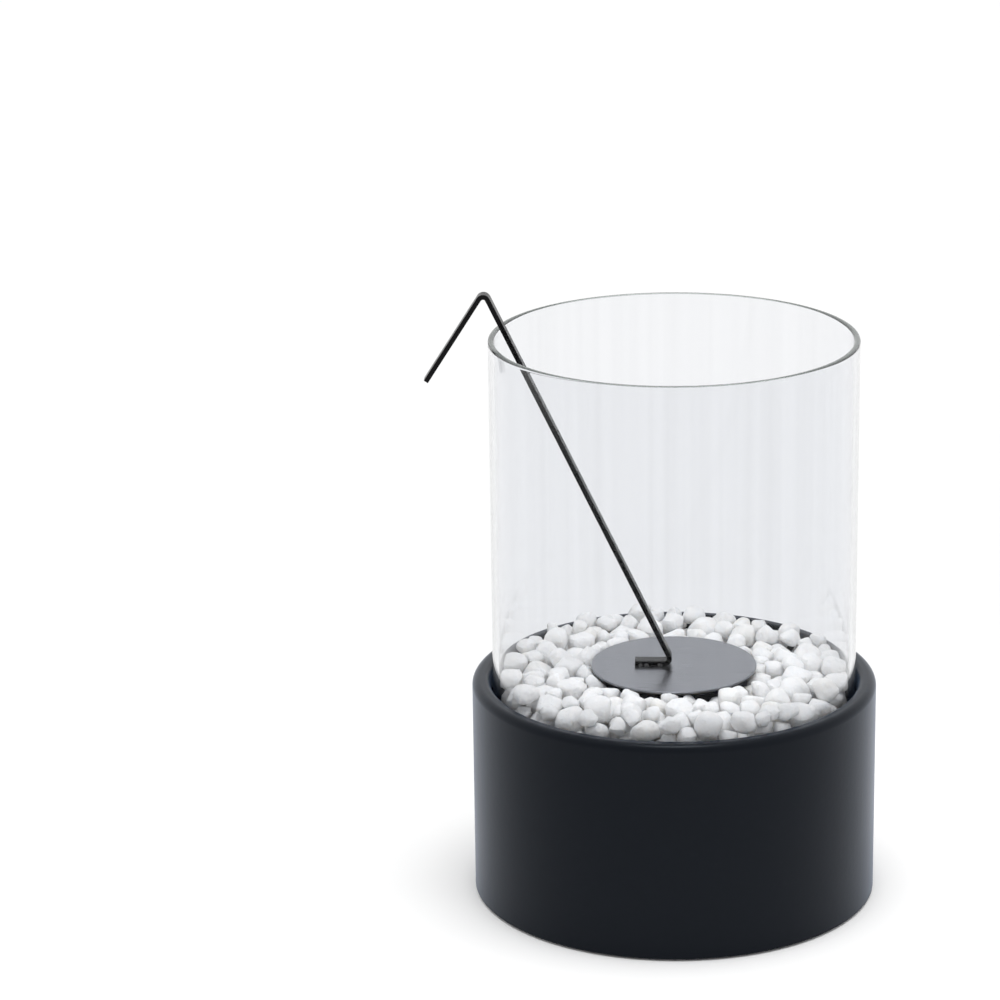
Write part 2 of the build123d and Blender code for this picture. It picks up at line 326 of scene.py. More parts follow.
def capped_grid(rows, columns):
    """Quads of a grid that closes along its rows, and the fans to an end point beyond each outer row.

    The end points are numbered after the grid, first the one beside the first row.
    """
    ring = np.arange(columns)
    beside = np.roll(ring, -1)
    end = np.full(columns, rows * columns)
    far = (rows - 1) * columns
    first_fan = np.stack([end, beside, ring], axis=1)
    last_fan = np.stack([end + 1, far + ring, far + beside], axis=1)
    return grid_quads(rows, columns, False, True), np.concatenate([first_fan, last_fan])


def turned(section, steps=192):
    """Surface of a closed section turned about Z: (r, z) goes to (r cos a, r sin a, z)."""
    a = np.linspace(0.0, 2 * np.pi, steps, endpoint=False)
    r, z = section[:, :1], section[:, 1:]
    points = np.stack([r * np.cos(a), r * np.sin(a), np.broadcast_to(z, (len(r), steps))], axis=-1)
    return points.reshape(-1, 3), grid_quads(len(section), steps, True, True).tolist()


def turned_on_axis(section, steps=192):
    """Surface of a section that starts and ends on Z: turned as above, each end one point with a fan."""
    points, _ = turned(section[1:-1], steps)
    ends = [[0.0, 0.0, section[0, 1]], [0.0, 0.0, section[-1, 1]]]
    quads, fans = capped_grid(len(section) - 2, steps)
    return np.concatenate([points, ends]), quads.tolist() + fans.tolist()


def pot_sides(wall, low, rim, corner, sheet):
    """Outer and inner side of a pot's section: from the axis out and up to the rim, and back down."""
    inside, floor = wall - sheet, low + sheet
    under, _ = rounded_path([(0, low), (wall, low), (wall, rim)], (corner,))
    inner, _ = rounded_path([(inside, rim), (inside, floor), (0, floor)], (corner - sheet,))
    return under, inner


def carried(path, sides, section):
    """Surface of a closed section carried along a flat path in the XZ plane, with both ends capped.

    A section point (u, v) at a path point p with left-hand normal n lies at p + v n, at y = u.
    """
    flat = path[:, None] + section[None, :, 1:] * sides[:, None]
    y = np.broadcast_to(section[None, :, 0], flat.shape[:2])
    points = np.stack([flat[..., 0], y, flat[..., 1]], axis=-1)
    rows, columns = points.shape[:2]
    faces = grid_quads(rows, columns, False, True).tolist()
    faces.append(list(range(columns)))
    faces.append([(rows - 1) * columns + i for i in reversed(range(columns))])
    return points.reshape(-1, 3), faces


def stone_seats(node):
    """Centres and half sizes of the stones in one heap of the frame.

    Mesh points at one place count as one. Points that share a triangle take the lowest of their
    numbers, again and again, until each stone has one number. A stone's centre is the middle of its
    box, and its half size is half of that box.
    """
    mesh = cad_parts[node].data
    places = np.empty(len(mesh.vertices) * 3, np.float32)
    mesh.vertices.foreach_get("co", places)
    corners = np.empty(len(mesh.loops), np.int32)
    mesh.loops.foreach_get("vertex_index", corners)
    places, same = np.unique(places.reshape(-1, 3), axis=0, return_inverse=True)
    triangles = same.ravel()[corners].reshape(-1, 3)
    number, before = np.arange(len(places)), None
    while before is None or (before != number).any():
        before = number.copy()
        np.minimum.at(number, triangles, before[triangles].min(axis=1, keepdims=True))
    _, stone = np.unique(number, return_inverse=True)
    low = np.full((stone.max() + 1, 3), np.inf)
    high = -low
    np.minimum.at(low, stone, places)
    np.maximum.at(high, stone, places)
    return (low + high) / 2, (high - low) / 2


def filler_seats(centres, sizes, walls, look):
    """Centres and half sizes of small stones in the hollows between the large ones.

    Of many random points in the ring, under a crown that drops with the square of the distance from
    its middle and rises evenly towards the glass, the one with the most room to every stone, wall
    and the tray takes a stone as large as that room. It then counts as a stone, and the next point
    is taken, until no hollow has room for the smallest filler. A point with more room than the
    largest filler waits, because a stone there would touch nothing.
    """
    rng = np.random.default_rng(look.seed + 2)
    inner, outside = walls["collar"], walls["glass"]
    heading, share_out, share_up = rng.uniform(0.0, 1.0, (3, look.filler_spots))
    away = np.sqrt(inner**2 + share_out * (outside**2 - inner**2))
    across = (2 * away - inner - outside) / (outside - inner)
    crown = look.crown_level - look.crown_drop * across**2 + look.crown_lean * (1 + across) / 2
    level = walls["tray"] + share_up * (crown - walls["tray"])
    heading = 2 * np.pi * heading
    points = np.stack([away * np.cos(heading), away * np.sin(heading), level], axis=1)
    away_from_stones = np.linalg.norm(points[:, None] - centres[None], axis=-1) - look.nesting * sizes
    room = away_from_stones.min(axis=1)
    room = np.minimum.reduce([room, outside - away, away - inner, level - walls["tray"]])
    found, found_sizes = [], []
    while (held := np.where(room <= look.filler_most, room, 0.0)).max() > look.filler_least:
        best = held.argmax()
        found.append(points[best])
        found_sizes.append(held[best])
        room = np.minimum(room, np.linalg.norm(points - points[best], axis=1) - held[best])
    return np.array(found).reshape(-1, 3), np.array(found_sizes)


def sphere_directions(rows=14, columns=22):
    """Unit directions on a grid of latitudes and longitudes, then both poles, with quads and pole fans."""
    latitude = np.linspace(-np.pi / 2, np.pi / 2, rows + 2)[1:-1, None]
    longitude = np.linspace(0.0, 2 * np.pi, columns, endpoint=False)[None]
    ring = np.stack(
        [
            np.cos(latitude) * np.cos(longitude),
            np.cos(latitude) * np.sin(longitude),
            np.broadcast_to(np.sin(latitude), (rows, columns)),
        ],
        axis=-1,
    ).reshape(-1, 3)
    quads, fans = capped_grid(rows, columns)
    return np.concatenate([ring, [[0, 0, -1], [0, 0, 1]]]), quads, fans


def reach_to_cylinder(centres, directions, radius, from_inside):
    """How far a ray from each centre along each direction goes to an upright cylinder about Z.

    The crossing solves |c + t d| = radius in plan. From inside it is the larger root, and from
    outside the smaller one, where the ray meets the cylinder at all.
    """
    a = np.maximum((directions[:, :2] ** 2).sum(-1), TINY)[None]
    b = centres[:, :2] @ directions[:, :2].T
    c = ((centres[:, :2] ** 2).sum(-1) - radius**2)[:, None]
    inside = b**2 - a * c
    root = np.sqrt(np.maximum(inside, 0.0))
    if from_inside:
        return (-b + root) / a
    return np.where((inside > 0) & (b < 0), (-b - root) / a, np.inf)


def random_turns(rng, number, tilt):
    """Turning matrices: any heading about Z, then a lean of up to tilt about a level axis."""
    heading = rng.uniform(0.0, 2 * np.pi, number)
    lean = rng.uniform(-tilt, tilt, number)
    zero, one = np.zeros(number), np.ones(number)
    spin = np.stack(
        [np.cos(heading), -np.sin(heading), zero, np.sin(heading), np.cos(heading), zero, zero, zero, one],
        axis=-1,
    ).reshape(-1, 3, 3)
    tip = np.stack(
        [one, zero, zero, zero, np.cos(lean), -np.sin(lean), zero, np.sin(lean), np.cos(lean)], axis=-1
    ).reshape(-1, 3, 3)
    return spin @ tip


def stone_forms(directions, centres, size, walls, look):
    """Reach of every stone's surface along every direction of the sphere grid.

    Each limit on a stone gives a distance along a direction: its own leaning ellipsoid, worn flat
    sides, the plane that halves the way to each neighbour, the tray, the glass, the collar, and the
    lid: a level plane under it, and for a stone beside it one that slants up and outward from its
    edge. The reach is (sum of distance ** -hardness) ** (-1 / hardness), which stays inside every
    limit and rounds the edges between them. Soft dents then take off a little more.
    """
    rng = np.random.default_rng(look.seed)
    stones, power = len(centres), look.hardness

    stretch = rng.uniform(STRETCH_LEAST, STRETCH_MOST, (stones, 3)) * size[:, None] * look.growth
    turns = random_turns(rng, stones, look.tilt)
    leaning = np.einsum("md,ndk->nmk", directions, turns)
    total = np.linalg.norm(leaning / stretch[:, None], axis=-1) ** power

    flats = rng.normal(size=(stones, look.facets, 3))
    flats /= np.linalg.norm(flats, axis=-1, keepdims=True)
    support = np.linalg.norm(np.einsum("nkd,ndj->nkj", flats, turns) * stretch[:, None], axis=-1)
    depth = rng.uniform(FLATS_DEEPEST, FLATS_SHALLOWEST, (stones, look.facets)) * support
    toward = np.maximum(np.einsum("nkd,md->nkm", flats, directions), 0.0)
    total += ((toward / depth[..., None]) ** power).sum(axis=1)

    apart = centres[None] - centres[:, None]
    distance = np.linalg.norm(apart, axis=-1)
    near = (distance > 0) & (distance < NEIGHBOUR_REACH * size.max())
    own_share = size[:, None] / (size[:, None] + size[None])
    for stone in range(stones):
        beside = near[stone]
        away = apart[stone, beside] / distance[stone, beside, None]
        middle = distance[stone, beside] * own_share[stone, beside] - look.gap / 2
        toward = np.maximum(away @ directions.T, 0.0)
        total[stone] += ((toward / middle[:, None]) ** power).sum(axis=0)

    down = np.maximum(-directions[None, :, 2], 0.0) / (centres[:, 2:] - walls["tray"])
    total += down**power

    away = np.linalg.norm(centres[:, :2], axis=1)
    outward = centres[:, :2] / away[:, None]
    slope = np.where(away > walls["lid_radius"], LID_SLANT, 0.0)
    rise = np.sqrt(1.0 - slope**2)
    lid_normal = np.concatenate([-slope[:, None] * outward, rise[:, None]], axis=1)
    room = slope * (away - walls["lid_radius"]) + rise * (walls["lid"] - centres[:, 2])
    total += (np.maximum(lid_normal @ directions.T, 0.0) / room[:, None]) ** power
    total += reach_to_cylinder(centres, directions, walls["glass"], True) ** -power
    total += reach_to_cylinder(centres, directions, walls["collar"], False) ** -power

    waves = rng.normal(size=(stones, DENT_WAVES, 3)) * DENT_PITCH
    phases = rng.uniform(0.0, 2 * np.pi, (stones, DENT_WAVES))
    dents = np.sin(np.einsum("nkd,md->nkm", waves, directions) + phases[..., None]).mean(axis=1)
    return total ** (-1 / power) * (1.0 - look.dents * (1.0 + dents))


# Materials


class Finish:
    """A material around one Principled shader, with short ways to add and link nodes."""

    def __init__(self, name, base, roughness, metallic=0.0, **constants):
        self.material = bpy.data.materials.new(name)
        self.material.use_nodes = True
        self.tree = self.material.node_tree
        self.shader = self.tree.nodes["Principled BSDF"]
        self.set("Base Color", (*base, 1.0))
        self.set("Roughness", roughness)
        self.set("Metallic", metallic)
        for socket, value in constants.items():
            self.set(socket.replace("_", " "), value)
        self.place = self.add("ShaderNodeTexCoord").outputs["Object"]

    def set(self, socket, value):
        """A constant on one of the shader's own sockets."""
        self.shader.inputs[socket].default_value = value

    def add(self, kind, **values):
        """A new node with the given settings."""
        node = self.tree.nodes.new(kind)
        for key, value in values.items():
            setattr(node, key, value)
        return node

    def link(self, output, target):
        """A wire from an output to an input."""
        self.tree.links.new(output, target)

    def noise(self, scale, detail=3.0, roughness=0.5, vector=None):
        """Soft random values in space, from about 0.3 to 0.7."""
        node = self.add("ShaderNodeTexNoise")
        node.inputs["Scale"].default_value = scale
        node.inputs["Detail"].default_value = detail
        node.inputs["Roughness"].default_value = roughness
        self.link(vector or self.place, node.inputs["Vector"])
        return node.outputs["Fac"]

    def grain(self, scales, detail, roughness=0.5):
        """Such values with a scale of their own along each axis, for grain that runs one way."""
        node = self.add("ShaderNodeMapping")
        node.inputs["Scale"].default_value = scales
        self.link(self.place, node.inputs["Vector"])
        return self.noise(1.0, detail, roughness, node.outputs["Vector"])

    def spread(self, value, low, high, start=0.3, end=0.7):
        """A value from start to end taken evenly to low to high."""
        node = self.add("ShaderNodeMapRange")
        self.link(value, node.inputs["Value"])
        node.inputs["From Min"].default_value = start
        node.inputs["From Max"].default_value = end
        node.inputs["To Min"].default_value = low
        node.inputs["To Max"].default_value = high
        return node.outputs["Result"]

    def blend(self, factor, first, second):
        """Colour that goes from first to second with the factor; either may be a colour or an output."""
        node = self.add("ShaderNodeMix", data_type="RGBA")
        self.link(factor, node.inputs["Factor"])
        for socket, value in (("A", first), ("B", second)):
            target = next(i for i in node.inputs if i.name == socket and i.type == "RGBA")
            if hasattr(value, "is_linked"):
                self.link(value, target)
            else:
                target.default_value = (*value, 1.0)
        return next(o for o in node.outputs if o.type == "RGBA")

    def bump(self, height, depth, strength=1.0, under=None):
        """Normals of a height field, laid over another one if given."""
        node = self.add("ShaderNodeBump")
        node.inputs["Distance"].default_value = depth
        node.inputs["Strength"].default_value = strength
        self.link(height, node.inputs["Height"])
        if under is not None:
            self.link(under, node.inputs["Normal"])
        return node.outputs["Normal"]

    def feed(self, output, socket):
        """A wire from an output to one of the shader's sockets."""
        self.link(output, self.shader.inputs[socket])


def black_coat(colours):
    """Satin black powder coat: soft waves and fine grains in the film, and a roughness that drifts."""
    finish = Finish(
        "black_coat",
        colours.coat,
        0.3,
        Specular_IOR_Level=0.13,
        Specular_Tint=(0.8, 0.9, 1.0, 1.0),
        Sheen_Weight=0.2,
        Sheen_Roughness=0.35,
        Sheen_Tint=(0.46, 0.65, 1.0, 1.0),
    )
    finish.feed(finish.spread(finish.noise(18.0), 0.28, 0.34), "Roughness")
    waves = finish.bump(finish.noise(420.0, 2.0), depth=0.00006, strength=0.35)
    grains = finish.noise(2600.0, 2.0)
    finish.feed(finish.bump(grains, depth=0.00003, strength=0.3, under=waves), "Normal")
    return finish.material


def strip_coat(colours):
    """Thin satin black of the handle: glossier than the base, with faint streaks along the strip."""
    finish = Finish("strip_coat", colours.strip, 0.3, Specular_IOR_Level=0.12)
    finish.feed(finish.spread(finish.noise(90.0), 0.22, 0.3), "Roughness")
    finish.feed(finish.bump(finish.noise(1500.0, 2.0), depth=0.00003, strength=0.4), "Normal")
    return finish.material


def weld_coat(colours):
    """Weld dabs under the same black, rough, with random lighter specks that are painted glints."""
    finish = Finish("weld_coat", colours.strip, 0.4, Specular_IOR_Level=0.5)
    grain = finish.noise(900.0, 4.0)
    # The lighter specks are painted glints on the weld dabs
    thin = finish.spread(grain, 0.0, 1.0, 0.55, 0.75)
    finish.feed(finish.blend(thin, colours.strip, colours.weld), "Base Color")
    finish.feed(finish.bump(grain, depth=0.0003, strength=0.6), "Normal")
    return finish.material


def foam(colours):
    """Closed-cell foam: matt, with small pits."""
    finish = Finish("foam_pad", colours.foam, 0.95, Specular_IOR_Level=0.2)
    cells = finish.add("ShaderNodeTexVoronoi")
    cells.inputs["Scale"].default_value = 900.0
    finish.link(finish.place, cells.inputs["Vector"])
    finish.feed(finish.bump(cells.outputs["Distance"], depth=0.0004, strength=0.7), "Normal")
    return finish.material


def burner_steel(colours):
    """Bare drawn steel: level draw lines, warm heat haze and a roughness that follows the lines."""
    finish = Finish("burner_steel", colours.burner, 0.32, 1.0)
    lines = finish.grain((60.0, 60.0, 3200.0), 3.0, 0.6)
    haze = finish.spread(finish.noise(55.0, 2.0), 0.0, 0.55)
    warm = tuple(a * b for a, b in zip(colours.burner, HEAT_HAZE))
    finish.feed(finish.blend(haze, colours.burner, warm), "Base Color")
    finish.feed(finish.spread(lines, 0.24, 0.42), "Roughness")
    finish.feed(finish.bump(lines, depth=0.00003, strength=0.4), "Normal")
    return finish.material


def cup_steel(colours):
    """Steel of the fuel cup, greyed by soot and heat: level draw lines under a blotchy film."""
    finish = Finish("cup_steel", colours.cup, 0.36, 1.0)
    lines = finish.grain((60.0, 60.0, 2600.0), 3.0, 0.6)
    film = finish.spread(finish.noise(70.0, 4.0, 0.6), 0.0, 0.8, 0.35, 0.75)
    sooty = tuple(SOOT * c for c in colours.cup)
    finish.feed(finish.blend(film, colours.cup, sooty), "Base Color")
    finish.feed(finish.spread(lines, 0.3, 0.46), "Roughness")
    finish.feed(finish.bump(lines, depth=0.00003, strength=0.4), "Normal")
    return finish.material


def lid_steel(colours):
    """Satin grey steel, brushed one way: long fine scratches in roughness, tone and height."""
    finish = Finish("lid_steel", colours.lid, 0.3, 1.0)
    scratches = finish.grain((45.0, 2600.0, 45.0), 4.0, 0.6)
    broad = finish.grain((12.0, 320.0, 12.0), 2.0)
    dull = tuple(DULL_BRUSHING * c for c in colours.lid)
    finish.feed(finish.blend(finish.spread(broad, 0.0, 0.7), colours.lid, dull), "Base Color")
    finish.feed(finish.spread(scratches, 0.27, 0.32), "Roughness")
    finish.feed(finish.bump(scratches, depth=0.000008, strength=0.3), "Normal")
    return finish.material


def clear_glass(colours):
    """Clear drawn tube: slow waves, faint upright drawing streaks, and fire-polished ends painted grey and
    made less clear, as painted shade for the dark line that the light gives the rounded rim.

    The attribute glass_end_shade is 1 on the rounded ends and 0 on the walls.
    """
    finish = Finish(
        "clear_glass",
        colours.glass,
        0.0,
        Transmission_Weight=1.0,
        IOR=1.473,
        Specular_Tint=(0.15, 0.15, 0.15, 1.0),
    )
    # The attribute marks the rounded ends that get the painted shade
    end = finish.add("ShaderNodeAttribute", attribute_name="glass_end_shade").outputs["Fac"]
    streaks = finish.grain((160.0, 160.0, 1.5), 2.0, 0.6)
    fainter = tuple(DRAWN_STREAK * c for c in colours.glass)
    wall = finish.blend(finish.spread(streaks, 0.0, 1.0, 0.4, 0.7), colours.glass, fainter)
    finish.feed(finish.blend(end, wall, colours.glass_end_shade), "Base Color")
    finish.feed(finish.spread(end, 1.0, 0.72, 0.0, 1.0), "Transmission Weight")
    finish.feed(finish.spread(end, 0.0, 0.2, 0.0, 1.0), "Roughness")
    waves = finish.grain((28.0, 28.0, 3.0), 1.0)
    finish.feed(finish.bump(waves, depth=0.0004, strength=0.12), "Normal")
    return finish.material


def tumbled_marble(colours):
    """Tumbled white marble: cloudy greys, thin veins, the odd cream stone, a frosted grainy skin."""
    finish = Finish(
        "tumbled_marble",
        colours.marble,
        0.6,
        Specular_IOR_Level=0.35,
        Subsurface_Weight=0.85,
        Subsurface_Radius=(1.0, 0.95, 0.9),
        Subsurface_Scale=0.0042,
    )
    tone = finish.add("ShaderNodeAttribute", attribute_name="stone_tone").outputs["Fac"]
    moved = finish.add("ShaderNodeVectorMath", operation="MULTIPLY_ADD")
    moved.inputs[1].default_value = (1.0, 1.0, 1.0)
    finish.link(finish.place, moved.inputs[0])
    finish.link(tone, moved.inputs[2])
    own_place = moved.outputs["Vector"]
    clouds = finish.spread(finish.noise(140.0, 4.0, 0.6, own_place), 0.0, 1.0, 0.45, 0.8)
    veins = finish.add("ShaderNodeTexNoise", noise_type="RIDGED_MULTIFRACTAL")
    veins.inputs["Scale"].default_value = 90.0
    veins.inputs["Detail"].default_value = 3.0
    finish.link(own_place, veins.inputs["Vector"])
    thin = finish.spread(veins.outputs["Fac"], 0.0, 0.5, 0.9, 1.6)
    warm = finish.spread(tone, 0.0, 0.9, 0.86, 1.0)
    stone = finish.blend(warm, colours.marble, colours.marble_warm)
    stone = finish.blend(clouds, stone, colours.marble_shade)
    finish.feed(finish.blend(thin, stone, colours.marble_shade), "Base Color")
    finish.feed(finish.spread(finish.noise(260.0, 2.0, 0.5, own_place), 0.52, 0.7), "Roughness")
    lumps = finish.bump(finish.noise(230.0, 3.0, 0.55, own_place), depth=0.0022, strength=0.6)
    skin = finish.noise(1100.0, 3.0, 0.6, own_place)
    finish.feed(finish.bump(skin, depth=0.0003, strength=0.5, under=lumps), "Normal")
    return finish.material


def pale_floor(colours):
    """Matt pale floor with a hardly seen drift of tone."""
    finish = Finish("pale_floor", colours.floor, 0.9, Specular_IOR_Level=0.1)
    lighter = tuple(min(1.0, FLOOR_DRIFT * c) for c in colours.floor)
    drift = finish.spread(finish.noise(0.8), 0.0, 1.0)
    finish.feed(finish.blend(drift, colours.floor, lighter), "Base Color")
    return finish.material


FINISHES = {}


def finish_named(maker):
    """The material of one maker function, made the first time that it is asked for."""
    if maker not in FINISHES:
        FINISHES[maker] = maker(bpy.context.scene.fireplace_colours)
    return FINISHES[maker]


# Pieces


def mesh_object(name, points, faces, maker, crease=math.radians(38)):
    """A smooth-shaded mesh object at the origin; edges that turn by more than the crease stay sharp."""
    mesh = bpy.data.meshes.new(name)
    mesh.from_pydata(np.asarray(points).tolist(), [], faces)
    mesh.update()
    mesh.polygons.foreach_set("use_smooth", np.ones(len(mesh.polygons), bool))
    mesh.set_sharp_from_angle(angle=crease)
    mesh.materials.append(finish_named(maker))
    piece = bpy.data.objects.new(name, mesh)
    bpy.context.scene.collection.objects.link(piece)
    return piece


def stand_in(node, points, faces, maker, body, slot):
    """A piece that takes the place of one node of the frame and moves with that node's body."""
    piece = mesh_object(node + "_look", points, faces, maker)
    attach(piece, body)
    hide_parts(node)
    return piece


def coat_node(node, maker):
    """Gives a node of the frame its material and leaves its shape alone."""
    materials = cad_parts[node].data.materials
    materials.clear()
    materials.append(finish_named(maker))


def outer(node):
    """Outer radius, lowest and highest level of a round node."""
    low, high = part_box(node)
    return high.x, low.z, high.z


class FIREPLACE_OT_base_shell(Operator):
    """Base shell: one sheet up the wall, over the rounded rim and down inside as a hem"""

    bl_idname = "fireplace.base_shell"
    bl_label = "Base Shell"

    def execute(self, context):
        s = context.scene.fireplace_sheets
        radius, low, high = outer("base_shell")
        opening = radius - s.rim_ledge
        corners = [(radius, low), (radius, high), (opening, high), (opening, high - s.hem_depth)]
        section = sheet_section(corners, (s.rim_outer_round, s.rim_inner_round), s.shell_sheet)
        stand_in("base_shell", *turned(section, steps=288), black_coat, "base", "black_coat")
        return {"FINISHED"}


class FIREPLACE_OT_inner_sheets(Operator):
    """Inner sheets: floor, tray, brackets and the collar round the burner"""

    bl_idname = "fireplace.inner_sheets"
    bl_label = "Inner Sheets"

    def execute(self, context):
        s = context.scene.fireplace_sheets
        for node in BLACK_SHEETS:
            coat_node(node, black_coat)
        foot, low, high = outer("burner_sleeve")
        bore = outer("burner_can")[0] - s.sleeve_inset
        section = sheet_section([(bore, high), (bore, low), (foot, low)], (s.sleeve_bend,), s.sleeve_sheet)
        stand_in("burner_sleeve", *turned(section), black_coat, "base", "black_coat")
        return {"FINISHED"}


class FIREPLACE_OT_anti_slip_pad(Operator):
    """Anti-slip pad: the foam disc that the fireplace stands on"""

    bl_idname = "fireplace.anti_slip_pad"
    bl_label = "Anti-slip Pad"

    def execute(self, context):
        coat_node("anti_slip_pad", foam)
        return {"FINISHED"}


class FIREPLACE_OT_burner(Operator):
    """Burner: the drawn can with its curled rim, and the thin fuel cup that stands in it"""

    bl_idname = "fireplace.burner"
    bl_label = "Burner"

    def execute(self, context):
        s = context.scene.fireplace_sheets
        ring, low, high = outer("burner_can")
        bead = s.can_bead / 2
        wall = ring - s.can_bead + s.can_sheet
        middle = (ring - bead, high - bead)
        meets = math.degrees(math.acos((wall - middle[0]) / bead))
        under, inner = pot_sides(wall, low, middle[1], s.can_corner, s.can_sheet)
        section = np.concatenate([under[:-1], arc(middle, bead, -meets, 180, steps=25), inner[1:]])
        stand_in("burner_can", *turned_on_axis(section), burner_steel, "burner", "burner_steel")

        wall, low, high = outer("fuel_cup")
        lip = s.cup_lip / 2
        middle = (wall - lip, high - lip)
        meets = math.degrees(math.acos((wall - s.can_sheet - middle[0]) / lip))
        under, inner = pot_sides(wall, low, middle[1], s.cup_corner, s.can_sheet)
        section = np.concatenate([under, arc(middle, lip, 0, 360 - meets, steps=21)[1:], inner[1:]])
        stand_in("fuel_cup", *turned_on_axis(section), cup_steel, "burner", "burner_steel")
        return {"FINISHED"}


class FIREPLACE_OT_glass_cylinder(Operator):
    """Glass cylinder: a clear tube with fire-polished ends"""

    bl_idname = "fireplace.glass_cylinder"
    bl_label = "Glass Cylinder"

    def execute(self, context):
        s = context.scene.fireplace_sheets
        radius, low, high = outer("glass_cylinder")
        inside = radius - s.glass_wall
        section = rounded_loop(
            [(radius, low), (radius, high), (inside, high), (inside, low)], s.glass_round
        )
        points, faces = turned(section, steps=288)
        piece = stand_in("glass_cylinder", points, faces, clear_glass, "glass", "clear_glass")
        # Points on the rounded ends, which get the painted shade
        at_end = np.minimum(points[:, 2] - low, high - points[:, 2]) < s.shaded_end * s.glass_round
        end = piece.data.attributes.new("glass_end_shade", "FLOAT", "POINT")
        end.data.foreach_set("value", at_end.astype(np.float32))
        return {"FINISHED"}


class FIREPLACE_OT_pebbles(Operator):
    """Pebbles: tumbled marble stones, one for each seat in the frame and small ones in the hollows"""

    bl_idname = "fireplace.pebbles"
    bl_label = "Pebbles"

    def execute(self, context):
        look = context.scene.fireplace_stones
        sheets = context.scene.fireplace_sheets
        lid_radius, lid_low, _ = outer("snuffer_lid")
        walls = {
            "tray": outer("pebble_tray")[1] + sheets.tray_sheet,
            "glass": outer("glass_cylinder")[0] - sheets.glass_wall - look.wall_gap,
            "collar": outer("burner_can")[0] + look.wall_gap,
            "lid": lid_low - look.lid_gap,
            "lid_radius": lid_radius + look.lid_gap,
        }
        seats = [stone_seats(node) for node in HEAPS]
        centres = np.concatenate([middle for middle, _ in seats])
        sizes = np.concatenate([half[:, :2].mean(axis=1) for _, half in seats])
        heap = np.repeat(np.arange(len(HEAPS)), [len(middle) for middle, _ in seats])
        small, small_sizes = filler_seats(centres, sizes, walls, look)
        nearest = np.linalg.norm(small[:, None] - centres[None], axis=-1).argmin(axis=1)
        heap = np.concatenate([heap, heap[nearest]])
        centres = np.concatenate([centres, small])
        sizes = np.concatenate([sizes, small_sizes])
        sizes = sizes ** (1 - look.evenness) * sizes.mean() ** look.evenness

        directions, quads, fans = sphere_directions()
        reach = stone_forms(directions, centres, sizes, walls, look)
        points = centres[:, None] + reach[..., None] * directions[None]
        tones = np.random.default_rng(look.seed + 1).uniform(0.0, 1.0, len(centres))
        for number, node in enumerate(HEAPS):
            own = heap == number
            first = len(directions) * np.arange(own.sum())[:, None, None]
            faces = (quads + first).reshape(-1, 4).tolist() + (fans + first).reshape(-1, 3).tolist()
            piece = stand_in(node, points[own].reshape(-1, 3), faces, tumbled_marble, "base", "marble")
            tone = piece.data.attributes.new("stone_tone", "FLOAT", "POINT")
            tone.data.foreach_set("value", np.repeat(tones[own], len(directions)).astype(np.float32))
        return {"FINISHED"}


class FIREPLACE_OT_snuffer_lid(Operator):
    """Snuffer lid: a thin brushed disc with softened edges"""

    bl_idname = "fireplace.snuffer_lid"
    bl_label = "Snuffer Lid"

    def execute(self, context):
        r = context.scene.fireplace_sheets.lid_round
        radius, low, high = outer("snuffer_lid")
        section, _ = rounded_path([(0, low), (radius, low), (radius, high), (0, high)], (r, r))
        stand_in("snuffer_lid", *turned_on_axis(section, steps=256), lid_steel, "snuffer", "lid_steel")
        return {"FINISHED"}


class FIREPLACE_OT_snuffer_handle(Operator):
    """Snuffer handle: a flat strip with its foot on the lid and its end bent back as a hook"""

    bl_idname = "fireplace.snuffer_handle"
    bl_label = "Snuffer Handle"

    def execute(self, context):
        s = context.scene.fireplace_handle
        glass_radius, _, glass_top = outer("glass_cylinder")
        lid_top = outer("snuffer_lid")[2]
        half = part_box("snuffer_handle")[1].y
        foot = (s.foot_x, lid_top)
        elbow = (s.elbow_x, lid_top)
        apex = (-glass_radius - s.hook_overhang, glass_top + s.hook_rise)
        end = (
            apex[0] - s.hook_length * math.sin(s.hook_lean),
            apex[1] - s.hook_length * math.cos(s.hook_lean),
        )
        path, sides = rounded_path([foot, elbow, apex, end], (s.bend, s.bend), steps=13)
        section = rounded_loop(
            [(half, 0), (half, s.thickness), (-half, s.thickness), (-half, 0)], s.edge_round
        )
        stand_in(
            "snuffer_handle", *carried(path, sides, section), strip_coat, "snuffer", "handle_coat"
        )
        coat_node("handle_welds", weld_coat)
        return {"FINISHED"}


